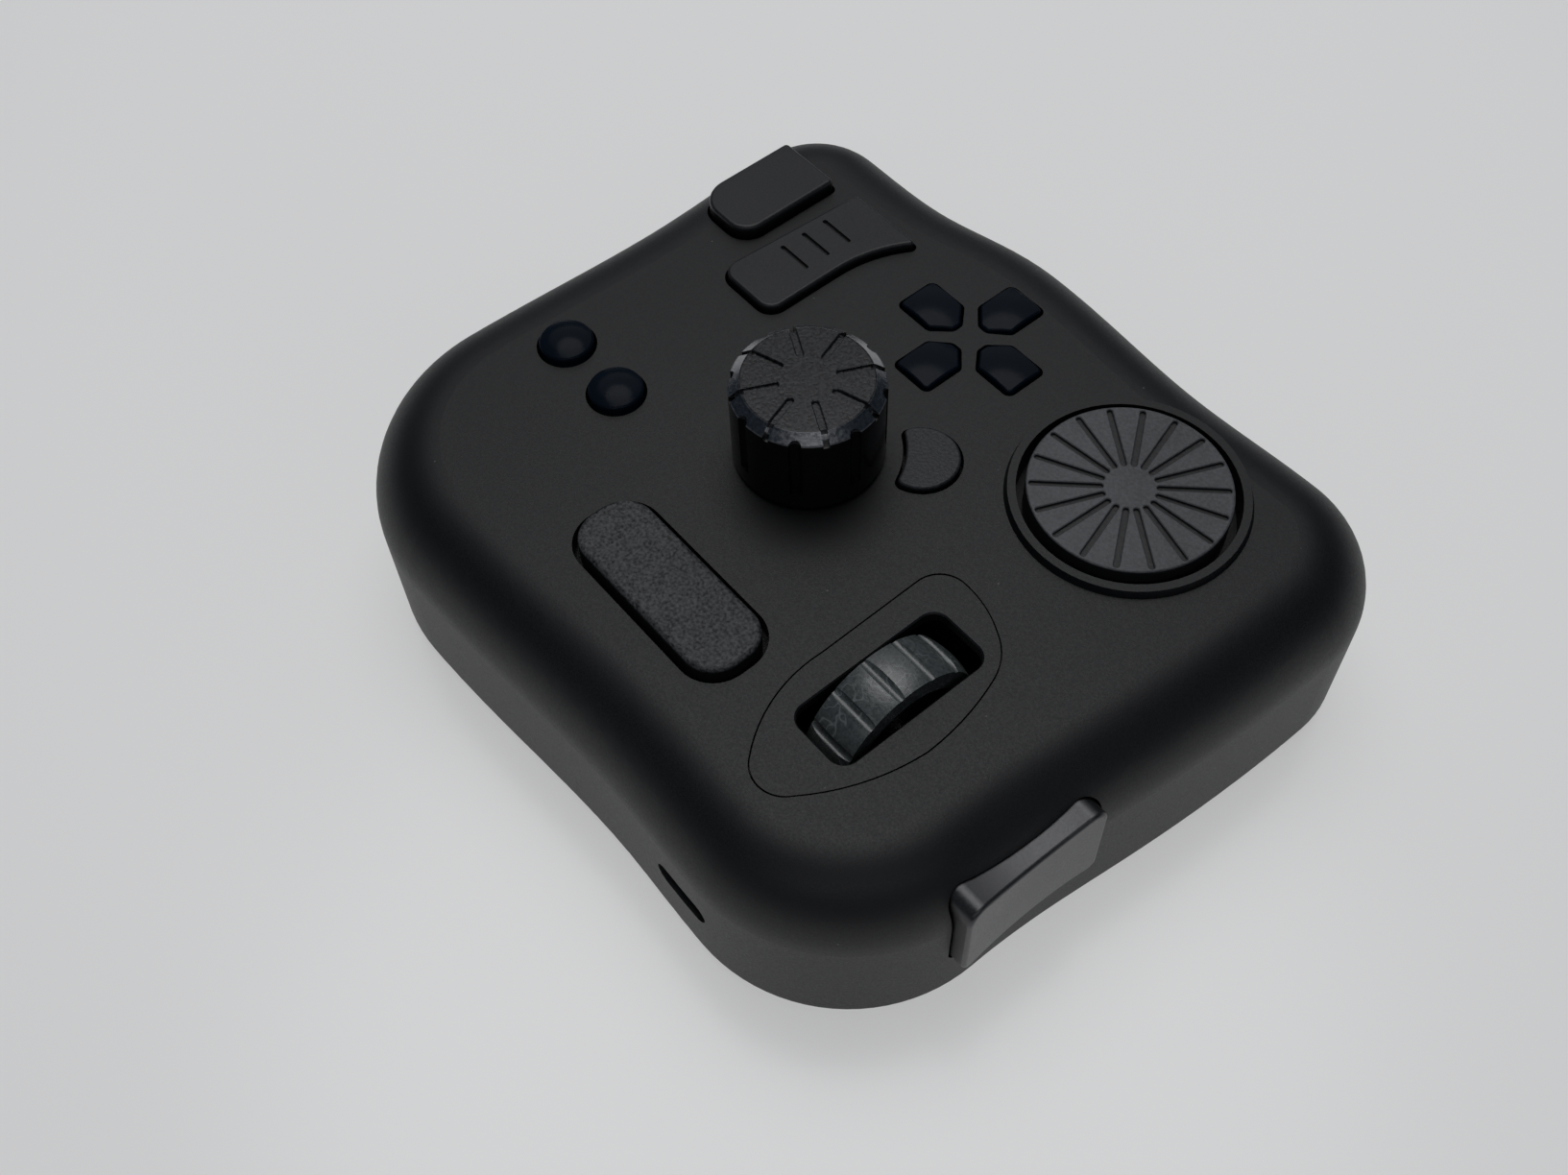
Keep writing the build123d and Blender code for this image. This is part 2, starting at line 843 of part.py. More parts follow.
def make_button(name, outline, gap, height, edge, dome, switch):
    """Button cap through the shell, with a flange under it and a stem to its switch."""
    top = shell_top + height
    drop = short_flange_drop if name == "short" else 0.0
    with BuildPart() as button:
        with BuildSketch(Plane.XY.offset(flange_top - drop)):
            outline()
        extrude(amount=top - flange_top + drop)
        if dome:
            with Locations((switch[0], switch[1], top - dome)):
                Sphere(dome, mode=Mode.INTERSECT)
        fillet(button.faces().sort_by(Axis.Z)[-1].edges(), edge)
        if name == "tall":
            with BuildSketch(Plane.XY.offset(top)):
                groove_x = tall_switch[0] + tall_groove_off_x
                groove_y = tall_switch[1] + tall_groove_off_y
                with Locations((groove_x, groove_y)):
                    with GridLocations(tall_groove_length, tall_groove_pitch, 1, tall_grooves):
                        SlotOverall(tall_groove_length, tall_groove_width)
            extrude(amount=-tall_groove_depth, mode=Mode.SUBTRACT)
        with BuildSketch(Plane.XY.offset(flange_top - drop)):
            outline()
            offset(amount=gap + flange_lip)
        extrude(amount=-flange_thickness)
        with BuildSketch(Plane.XY.offset(plunger_top)):
            with Locations(switch):
                Circle(stem_diameter / 2)
        extrude(amount=flange_top - drop - plunger_top)
    save(button, f"{name}_button")


for name, (outline, gap, height, edge, dome, switch) in buttons.items():
    make_button(name, outline, gap, height, edge, dome, switch)
    make_plunger(name, switch)


# Encoders, sliders and shafts of the knob and the dial
def make_encoder(name, centre, height, shaft_top):
    """Push encoder on the main board, with its slider and shaft."""
    with BuildPart() as encoder:
        with BuildSketch(Plane.XY.offset(board_top)):
            with Locations(centre):
                Rectangle(encoder_size, encoder_size)
        extrude(amount=height)
        with BuildSketch(Plane.XY.offset(board_top + encoder_floor)):
            with Locations(centre):
                Circle(shaft_diameter / 2 + shaft_clearance)
        extrude(amount=height - encoder_floor, mode=Mode.SUBTRACT)
    save(encoder, f"{name}_encoder")
    with BuildPart() as slider:
        with BuildSketch(Plane.XY.offset(slider_bottom)):
            with Locations(centre):
                Circle(shaft_diameter / 2)
        extrude(amount=slider_thickness)
    save(slider, f"{name}_slider")
    with BuildPart() as shaft:
        with BuildSketch(Plane.XY.offset(shaft_bottom)):
            with Locations(centre):
                Circle(shaft_diameter / 2)
        extrude(amount=shaft_top - shaft_bottom)
    save(shaft, f"{name}_shaft")


make_encoder("knob", knob_centre, knob_encoder_height, knob_bottom + knob_bore_depth)
make_encoder("dial", dial_centre, dial_encoder_height, dial_bottom + dial_bore_depth)


def knob_profile(inset):
    """Turned outline of the knob in its own X-Z plane, drawn in by inset."""
    rim = knob_diameter / 2 - inset
    top = overall_height - inset
    with BuildLine() as edge:
        Polyline(
            (0, knob_bottom),
            (rim, knob_bottom),
            (rim, top - knob_chamfer_height),
            (rim - knob_chamfer_width, top),
            (0, top),
            close=True,
        )
    make_face(edge.edges())


# Knob: grooves that run out over the chamfer, and flutes between them
knob_axis = Axis((knob_centre[0], knob_centre[1], 0), (0, 0, 1))
knob_plane = Plane((knob_centre[0], knob_centre[1], 0), x_dir=(1, 0, 0), z_dir=(0, -1, 0))
knob_groove_length = knob_diameter / 2 + knob_groove_width - knob_groove_inner
knob_groove_middle = knob_groove_inner + knob_groove_length / 2
with BuildPart() as knob_core:
    with BuildSketch(knob_plane):
        knob_profile(knob_groove_depth)
    revolve(axis=knob_axis)
with BuildPart() as knob:
    with BuildSketch(knob_plane):
        knob_profile(0)
    revolve(axis=knob_axis)
    with BuildSketch(Plane.XY.offset(overall_height)):
        with Locations(knob_centre):
            with PolarLocations(knob_groove_middle, knob_grooves, knob_groove_start):
                SlotOverall(knob_groove_length, knob_groove_width)
    extrude(amount=-knob_chamfer_height - knob_groove_depth, mode=Mode.SUBTRACT)
    add(knob_core.part)
    chamfer(knob.faces().sort_by(Axis.Z)[-1].edges(), knob_groove_edge)
    with BuildSketch(Plane.XY.offset(knob_bottom + knob_flute_foot)):
        with Locations(knob_centre):
            flute_start = knob_groove_start + 180 / knob_grooves
            flute_reach = (knob_diameter + knob_flute_diameter) / 2 - knob_flute_depth
            with PolarLocations(flute_reach, knob_grooves, flute_start):
                Circle(knob_flute_diameter / 2)
    extrude(amount=overall_height, mode=Mode.SUBTRACT)
    with BuildSketch(Plane.XY.offset(knob_bottom)):
        with Locations(knob_centre):
            Circle(shaft_diameter / 2 + shaft_clearance)
    extrude(amount=knob_bore_depth, mode=Mode.SUBTRACT)
save(knob, "knob")

# Dial: a flat disc with radial grooves
dial_groove_length = dial_groove_outer - dial_groove_inner
dial_groove_middle = (dial_groove_outer + dial_groove_inner) / 2
with BuildPart() as dial:
    with BuildSketch(Plane.XY.offset(dial_bottom)):
        with Locations(dial_centre):
            Circle(dial_diameter / 2)
    extrude(amount=dial_thickness)
    fillet(dial.faces().sort_by(Axis.Z)[-1].edges(), dial_edge)
    with BuildSketch(Plane.XY.offset(dial_top)):
        with Locations(dial_centre):
            with PolarLocations(dial_groove_middle, dial_grooves, dial_groove_start):
                SlotOverall(dial_groove_length, dial_groove_width)
    extrude(amount=-dial_groove_depth, mode=Mode.SUBTRACT)
    groove_rims = dial.faces().sort_by(Axis.Z)[-1].inner_wires()
    chamfer([edge for rim in groove_rims for edge in rim.edges()], dial_groove_edge)
    with BuildSketch(Plane.XY.offset(dial_bottom)):
        with Locations(dial_centre):
            Circle(shaft_diameter / 2 + shaft_clearance)
    extrude(amount=dial_bore_depth, mode=Mode.SUBTRACT)
save(dial, "dial")

# Scroll inlay: the plate that the seam line marks, with the wheel's slot through it
with BuildPart() as scroll_inlay:
    with BuildSketch(Plane.XY.offset(shell_top - inlay_depth)):
        inlay_outline(0)
        with Locations((scroll_x, scroll_y)):
            RectangleRounded(slot_width, slot_length, slot_corner, mode=Mode.SUBTRACT)
    extrude(amount=inlay_depth)
    slot_rim = scroll_inlay.faces().sort_by(Axis.Z)[-1].inner_wires()[0]
    chamfer(slot_rim.edges(), slot_edge)
save(scroll_inlay, "scroll_inlay")

# Scroll wheel: tyre and hub turned about X, on an axle in the cradle's arms
wheel_plane = Plane((scroll_x, scroll_y, scroll_axis_z), x_dir=(1, 0, 0), z_dir=(0, -1, 0))
wheel_axis = Axis((scroll_x, scroll_y, scroll_axis_z), (1, 0, 0))
with BuildPart() as scroll_tyre:
    with BuildSketch(wheel_plane):
        with BuildLine():
            Polyline(
                (tyre_half, tyre_edge_radius),
                (tyre_half, hub_radius),
                (-tyre_half, hub_radius),
                (-tyre_half, tyre_edge_radius),
            )
            ThreePointArc((-tyre_half, tyre_edge_radius), (0, tyre_radius), (tyre_half, tyre_edge_radius))
        make_face()
    revolve(axis=wheel_axis)
    groove_plane = Plane(
        (scroll_x - tyre_half, scroll_y, scroll_axis_z), x_dir=(0, 0, 1), z_dir=(1, 0, 0)
    )
    with BuildSketch(groove_plane):
        groove_reach = tyre_radius + tyre_groove_radius - tyre_groove_depth
        with PolarLocations(groove_reach, tyre_grooves, tyre_groove_start):
            Circle(tyre_groove_radius)
    extrude(amount=tyre_width, mode=Mode.SUBTRACT)
save(scroll_tyre, "scroll_tyre")

hub_half = tyre_half - hub_side_in
with BuildPart() as scroll_hub:
    with BuildSketch(wheel_plane):
        with BuildLine():
            Polyline(
                (hub_half, hub_radius),
                (hub_half, axle_diameter / 2),
                (-hub_half, axle_diameter / 2),
                (-hub_half, hub_radius),
                close=True,
            )
        make_face()
    revolve(axis=wheel_axis)
save(scroll_hub, "scroll_hub")

axle_plane = Plane((scroll_x - arm_outer, scroll_y, scroll_axis_z), x_dir=(0, 1, 0), z_dir=(1, 0, 0))
axle_length = 2 * arm_outer + scroll_encoder_thickness / 2
with BuildPart() as scroll_axle:
    with BuildSketch(axle_plane):
        Circle(axle_diameter / 2)
    extrude(amount=axle_length)
save(scroll_axle, "scroll_axle")

with BuildPart() as scroll_cradle:
    with BuildSketch(Plane.XY.offset(cradle_bottom)):
        with Locations((scroll_x, scroll_y)):
            Rectangle(2 * arm_outer, cradle_depth)
        with Locations(*guide_points):
            Circle(guide_diameter / 2 + guide_clearance, mode=Mode.SUBTRACT)
    extrude(amount=cradle_plate)
    arm_height = scroll_axis_z + arm_head - cradle_bottom
    with BuildSketch(Plane.XY.offset(cradle_bottom)):
        with Locations((scroll_x, scroll_y)):
            with GridLocations(2 * arm_inner + arm_thickness, arm_depth, 2, 1):
                Rectangle(arm_thickness, arm_depth)
    extrude(amount=arm_height)
    with BuildSketch(axle_plane):
        Circle(axle_diameter / 2 + axle_clearance)
    extrude(amount=2 * arm_outer, mode=Mode.SUBTRACT)
save(scroll_cradle, "scroll_cradle")

encoder_plane = Plane((scroll_x + arm_outer, scroll_y, scroll_axis_z), x_dir=(0, 1, 0), z_dir=(1, 0, 0))
with BuildPart() as scroll_encoder:
    with BuildSketch(encoder_plane):
        Rectangle(scroll_encoder_size, scroll_encoder_size)
        Circle(axle_diameter / 2 + axle_clearance, mode=Mode.SUBTRACT)
    extrude(amount=scroll_encoder_thickness)
save(scroll_encoder, "scroll_encoder")

with BuildPart() as scroll_switch:
    with BuildSketch(Plane.XY.offset(cover_top)):
        with Locations((scroll_x, scroll_y)):
            Rectangle(switch_size, switch_size)
    extrude(amount=scroll_switch_height)
    with BuildSketch(Plane.XY.offset(cover_top + switch_floor)):
        with Locations((scroll_x, scroll_y)):
            Circle(plunger_diameter / 2 + plunger_clearance)
    extrude(amount=scroll_switch_height, mode=Mode.SUBTRACT)
save(scroll_switch, "scroll_switch")

with BuildPart() as scroll_plunger:
    with BuildSketch(Plane.XY.offset(cradle_bottom)):
        with Locations((scroll_x, scroll_y)):
            Circle(plunger_diameter / 2)
    extrude(amount=-scroll_plunger_length)
save(scroll_plunger, "scroll_plunger")

# Side paddle: hollowed outer face, flange behind the wall, stem to its switch
side_switch_face = side_board_x - switch_height
paddle_plunger_x = side_switch_face - plunger_proud
hollow_centre = paddle_face_x - paddle_hollow_radius
with BuildPart() as side_paddle:
    with BuildSketch(Plane.YZ.offset(paddle_flange_x)):
        paddle_outline()
    extrude(amount=-half_width - paddle_flange_x)
    with BuildSketch(Plane.XY.offset(paddle_bottom)):
        with Locations((hollow_centre, paddle_hollow_y)):
            Circle(paddle_hollow_radius)
    extrude(amount=paddle_top - paddle_bottom, mode=Mode.SUBTRACT)
    fillet(side_paddle.faces().sort_by(Axis.X)[0].edges(), paddle_edge)
    with BuildSketch(Plane.YZ.offset(paddle_flange_x)):
        flange_reach = paddle_gap + flange_lip
        flange_middle = (paddle_bottom - flange_reach + paddle_flange_top) / 2
        flange_height = paddle_flange_top - paddle_bottom + flange_reach
        with Locations((paddle_middle, flange_middle)):
            Rectangle(paddle_back - paddle_front + 2 * flange_reach, flange_height)
    extrude(amount=flange_thickness)
    with BuildSketch(Plane.YZ.offset(paddle_flange_x)):
        with Locations((paddle_middle, paddle_switch_z)):
            Circle(stem_diameter / 2)
    extrude(amount=paddle_plunger_x - paddle_flange_x)
save(side_paddle, "side_paddle")

with BuildPart() as paddle_plunger:
    with BuildSketch(Plane.YZ.offset(paddle_plunger_x)):
        with Locations((paddle_middle, paddle_switch_z)):
            Circle(plunger_diameter / 2)
    extrude(amount=plunger_length)
save(paddle_plunger, "paddle_plunger")

with BuildPart() as side_switch:
    with BuildSketch(Plane.YZ.offset(side_switch_face)):
        with Locations((paddle_middle, paddle_switch_z)):
            Rectangle(switch_size, switch_size)
    extrude(amount=switch_height)
    with BuildSketch(Plane.YZ.offset(side_switch_face)):
        with Locations((paddle_middle, paddle_switch_z)):
            Circle(plunger_diameter / 2 + plunger_clearance)
    extrude(amount=switch_height - switch_floor, mode=Mode.SUBTRACT)
save(side_switch, "side_switch")

with BuildPart() as side_board:
    with BuildSketch(Plane.YZ.offset(side_board_x)):
        with BuildLine():
            Polyline(
                (side_board_front, cover_top),
                (side_board_back, cover_top),
                (side_board_back, side_board_top),
                (board_notch_y + side_board_step, side_board_top),
                (board_notch_y + side_board_step, board_bottom),
                (side_board_front, board_bottom),
                close=True,
            )
        make_face()
    extrude(amount=side_board_thickness)
save(side_board, "side_board")

# USB-C socket, its board on the cover's posts, and the ribbon up to the main board
with BuildPart() as usb_socket:
    with BuildSketch(Plane.XZ.offset(-usb_y)):
        with Locations((usb_x, usb_z)):
            SlotOverall(usb_width, usb_height)
    extrude(amount=usb_depth)
    with BuildSketch(Plane.XZ.offset(-usb_y)):
        with Locations((usb_x, usb_z)):
            SlotOverall(usb_width - 2 * usb_skin, usb_height - 2 * usb_skin)
    extrude(amount=usb_cavity_depth, mode=Mode.SUBTRACT)
    with BuildSketch(Plane.XZ.offset(-usb_y + usb_tongue_in)):
        with Locations((usb_x, usb_z)):
            Rectangle(usb_tongue_width, usb_tongue_thickness)
    extrude(amount=usb_cavity_depth - usb_tongue_in)
save(usb_socket, "usb_socket")

with BuildPart() as usb_board:
    with BuildSketch(Plane.XY.offset(usb_board_top)):
        with Locations(((usb_board_left + usb_board_right) / 2, (usb_board_front + usb_board_back) / 2)):
            Rectangle(usb_board_right - usb_board_left, usb_board_back - usb_board_front)
    extrude(amount=-usb_board_thickness)
save(usb_board, "usb_board")

with BuildPart() as usb_ribbon:
    with BuildSketch(Plane.XY.offset(usb_board_top)):
        with Locations((ribbon_x, ribbon_y)):
            Rectangle(ribbon_width, ribbon_thickness)
    extrude(amount=board_bottom - usb_board_top)
save(usb_ribbon, "usb_ribbon")
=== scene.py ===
import json
import math

import bpy
from mathutils import Matrix, Vector


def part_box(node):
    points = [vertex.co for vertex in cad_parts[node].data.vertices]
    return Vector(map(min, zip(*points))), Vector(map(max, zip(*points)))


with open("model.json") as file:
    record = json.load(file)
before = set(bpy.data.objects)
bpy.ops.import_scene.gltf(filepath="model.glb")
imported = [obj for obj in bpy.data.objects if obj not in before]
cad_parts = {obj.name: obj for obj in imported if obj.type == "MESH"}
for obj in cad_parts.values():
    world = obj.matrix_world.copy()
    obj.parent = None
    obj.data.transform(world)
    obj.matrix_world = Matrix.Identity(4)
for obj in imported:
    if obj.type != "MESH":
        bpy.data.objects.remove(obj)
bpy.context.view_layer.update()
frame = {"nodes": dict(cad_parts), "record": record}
nodes = frame["nodes"]

MM = 0.001


# Materials

# Sockets of a Mix node that mixes colours
MIX_FACTOR, MIX_FIRST, MIX_SECOND, MIX_RESULT = 0, 6, 7, 2

PATCH_SIZE = 14 * MM
GLOSS_VARY = 0.05
DUST_SPACING = 2.6 * MM
DUST_RADIUS = 0.16 * MM
DUST_COLOUR = (0.12, 0.12, 0.12)
SCUFF_SIZE = 2.2 * MM
SCUFF_WIDTH = 0.025
# Fraction of its colour that a low place keeps under painted shade
PAINTED_SHADE_TONE = 0.2
RIM_FOOT_EDGE = 0.1 * MM
RIM_INNER_EDGE = 0.05 * MM
RIM_RELIEF = 0.2
BRUSHING_SIZE = 0.4 * MM
BRUSHING_DEPTH = 0.004 * MM
BRUSHING_TONE = 0.85
BRUSHING_VARY = 0.06


def new_material(name):
    material = bpy.data.materials.new(name)
    material.use_nodes = True
    tree = material.node_tree
    tree.nodes.clear()
    output = tree.nodes.new("ShaderNodeOutputMaterial")
    shader = tree.nodes.new("ShaderNodeBsdfPrincipled")
    tree.links.new(shader.outputs["BSDF"], output.inputs["Surface"])
    return material, tree, shader


def place(tree):
    """Place of a point of the piece, at rest."""
    return tree.nodes.new("ShaderNodeTexCoord").outputs["Object"]


def noise(tree, size, detail=2.0, roughness=0.5, stretch=(1, 1, 1)):
    """Noise with features of about the given size in metres, fixed to the piece."""
    mapping = tree.nodes.new("ShaderNodeMapping")
    mapping.inputs["Scale"].default_value = [axis / size for axis in stretch]
    texture = tree.nodes.new("ShaderNodeTexNoise")
    texture.inputs["Scale"].default_value = 1.0
    texture.inputs["Detail"].default_value = detail
    texture.inputs["Roughness"].default_value = roughness
    tree.links.new(place(tree), mapping.inputs["Vector"])
    tree.links.new(mapping.outputs["Vector"], texture.inputs["Vector"])
    return texture.outputs["Fac"]


def spread(tree, value, low, high, start=0.3, end=0.7):
    """Maps the values from start to end, by default most of a noise, to the range from low to high."""
    node = tree.nodes.new("ShaderNodeMapRange")
    node.inputs["From Min"].default_value = start
    node.inputs["From Max"].default_value = end
    node.inputs["To Min"].default_value = low
    node.inputs["To Max"].default_value = high
    tree.links.new(value, node.inputs["Value"])
    return node.outputs["Result"]


def combine(tree, operation, first, second):
    """One value from two, by a Math node."""
    node = tree.nodes.new("ShaderNodeMath")
    node.operation = operation
    tree.links.new(first, node.inputs[0])
    tree.links.new(second, node.inputs[1])
    return node.outputs["Value"]


def colour_mix(tree, factor):
    node = tree.nodes.new("ShaderNodeMix")
    node.data_type = "RGBA"
    tree.links.new(factor, node.inputs[MIX_FACTOR])
    return node


def shade(tree, factor, dark, light):
    """Colour between two colours."""
    node = colour_mix(tree, factor)
    node.inputs[MIX_FIRST].default_value = (*dark, 1)
    node.inputs[MIX_SECOND].default_value = (*light, 1)
    return node.outputs[MIX_RESULT]


def over(tree, factor, below, colour):
    """A colour laid over another by a factor."""
    node = colour_mix(tree, factor)
    tree.links.new(below, node.inputs[MIX_FIRST])
    node.inputs[MIX_SECOND].default_value = (*colour, 1)
    return node.outputs[MIX_RESULT]


def specks(tree, spacing, radius, kept):
    """Mask of small round specks, in only some of the cells of a grid."""
    cells = tree.nodes.new("ShaderNodeTexVoronoi")
    cells.inputs["Scale"].default_value = 1.0 / spacing
    tree.links.new(place(tree), cells.inputs["Vector"])
    near = spread(
        tree, cells.outputs["Distance"], low=1.0, high=0.0, start=0.5 * radius / spacing, end=radius / spacing
    )
    split = tree.nodes.new("ShaderNodeSeparateColor")
    tree.links.new(cells.outputs["Color"], split.inputs["Color"])
    chosen = spread(
        tree, split.outputs["Red"], low=0.0, high=1.0, start=1.0 - kept, end=1.0 - kept + 0.01
    )
    return combine(tree, "MULTIPLY", near, chosen)


def scuffs(tree, size):
    """Mask of thin curved scratches, in patches. They run where a noise is near its middle."""
    lines = noise(tree, size, detail=1.0, roughness=0.4)
    off_line = tree.nodes.new("ShaderNodeMath")
    off_line.operation = "SUBTRACT"
    tree.links.new(lines, off_line.inputs[0])
    off_line.inputs[1].default_value = 0.5
    distance = tree.nodes.new("ShaderNodeMath")
    distance.operation = "ABSOLUTE"
    tree.links.new(off_line.outputs["Value"], distance.inputs[0])
    thin = spread(tree, distance.outputs["Value"], low=1, high=0, start=0.0, end=SCUFF_WIDTH)
    patches = spread(tree, noise(tree, 2.5 * size), low=0, high=0.8, start=0.45, end=0.6)
    return combine(tree, "MULTIPLY", thin, patches)


def bump(tree, shader, relief, depth):
    node = tree.nodes.new("ShaderNodeBump")
    node.inputs["Strength"].default_value = 1.0
    node.inputs["Distance"].default_value = depth
    tree.links.new(relief, node.inputs["Height"])
    tree.links.new(node.outputs["Normal"], shader.inputs["Normal"])


def height(tree):
    """Height of a point of the piece, at rest."""
    axes = tree.nodes.new("ShaderNodeSeparateXYZ")
    tree.links.new(place(tree), axes.inputs["Vector"])
    return axes.outputs["Z"]


def off_axis(tree, centre):
    """Distance of a point of the piece from an upright axis, at rest."""
    flat = tree.nodes.new("ShaderNodeVectorMath")
    flat.operation = "MULTIPLY"
    flat.inputs[1].default_value = (1, 1, 0)
    tree.links.new(place(tree), flat.inputs[0])
    reach = tree.nodes.new("ShaderNodeVectorMath")
    reach.operation = "DISTANCE"
    reach.inputs[1].default_value = (centre[0], centre[1], 0)
    tree.links.new(flat.outputs["Vector"], reach.inputs[0])
    return reach.outputs["Value"]


def moulded(
    name, colour, rough, grain, depth, vary=0.15, mottle=0.0, dust=0.0, specular=0.5, metallic=0.0,
    low=None, scuffed=None, worn=None,
):
    """Moulded plastic or rubber: grain, uneven gloss and, where asked, dust, scuffs and painted shade in low
    places.

    The colour varies in patches by vary and from grain to grain by mottle. The low places, such as
    the floors of grooves or the sides of a key, are below the heights in low, where painted shade darkens the
    colour.
    A round rim that fingers have rubbed smooth and shiny is given in worn, as its foot, its centre,
    where it starts from that centre, and its colour.
    """
    material, tree, shader = new_material(name)
    patches = noise(tree, PATCH_SIZE, detail=3.0)
    fine = relief = noise(tree, grain)
    tone = combine(tree, "ADD", spread(tree, patches, -vary, vary), spread(tree, fine, -mottle, mottle))
    paint = shade(
        tree, spread(tree, tone, low=0, high=1, start=-1, end=1), (0, 0, 0), [2 * c for c in colour]
    )
    if dust:
        paint = over(tree, specks(tree, DUST_SPACING, DUST_RADIUS, dust), paint, DUST_COLOUR)
    if scuffed:
        paint = over(tree, scuffs(tree, SCUFF_SIZE), paint, scuffed)
    if worn:
        foot, centre, reach, wear = worn
        above = spread(tree, height(tree), 0, 1, foot - RIM_FOOT_EDGE, foot + RIM_FOOT_EDGE)
        outside = spread(
            tree, off_axis(tree, centre), 0, 1, reach - RIM_INNER_EDGE, reach + RIM_INNER_EDGE
        )
        rim = combine(tree, "MULTIPLY", above, outside)
        rubbed = combine(tree, "MULTIPLY", rim, spread(tree, fine, low=0.6, high=1.0))
        paint = over(tree, rubbed, paint, wear)
        tree.links.new(rim, shader.inputs["Metallic"])
        smoothing = spread(tree, rim, low=1.0, high=RIM_RELIEF, start=0, end=1)
        relief = combine(tree, "MULTIPLY", fine, smoothing)
    # Painted shade: below the heights in low the colour darkens to a fraction of itself
    if low:
        paint = over(tree, spread(tree, height(tree), 1, 0, *low), paint, [PAINTED_SHADE_TONE * c for c in colour])
    tree.links.new(paint, shader.inputs["Base Color"])
    gloss = spread(tree, fine, rough - GLOSS_VARY, rough + GLOSS_VARY)
    tree.links.new(gloss, shader.inputs["Roughness"])
    shader.inputs["Specular IOR Level"].default_value = specular
    shader.inputs["Metallic"].default_value = metallic
    bump(tree, shader, relief, depth)
    return material


def metal(name, colour, rough):
    """Bare metal with fine brushing."""
    material, tree, shader = new_material(name)
    lines = noise(tree, BRUSHING_SIZE, detail=3.0, stretch=(0.08, 1, 1))
    paint = shade(tree, lines, [BRUSHING_TONE * c for c in colour], colour)
    tree.links.new(paint, shader.inputs["Base Color"])
    gloss = spread(tree, lines, rough - BRUSHING_VARY, rough + BRUSHING_VARY)
    tree.links.new(gloss, shader.inputs["Roughness"])
    shader.inputs["Metallic"].default_value = 1.0
    bump(tree, shader, lines, BRUSHING_DEPTH)
    return material


def below_top(node, start, end):
    """Heights between which a node's surface turns dark as painted shade, from depths below its top."""
    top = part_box(node)[1][2]
    return top - end, top - start


def key(name, node):
    """Smooth grey key, its sides darkened as painted shade."""
    return moulded(
        name, (0.02, 0.0205, 0.0225), rough=0.36, grain=0.3 * MM, depth=0.012 * MM,
        mottle=0.25, specular=0.4, low=below_top(node, 0.6 * MM, 1.0 * MM),
    )


KNOB_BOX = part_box("knob")
KNOB_TOP = KNOB_BOX[1][2]
KNOB_MIDDLE = (KNOB_BOX[0] + KNOB_BOX[1]) / 2
KNOB_RADIUS = (KNOB_BOX[1][0] - KNOB_BOX[0][0]) / 2
KNOB_RIM_HEIGHT = 1.25 * MM
KNOB_RIM_WIDTH = 1.5 * MM

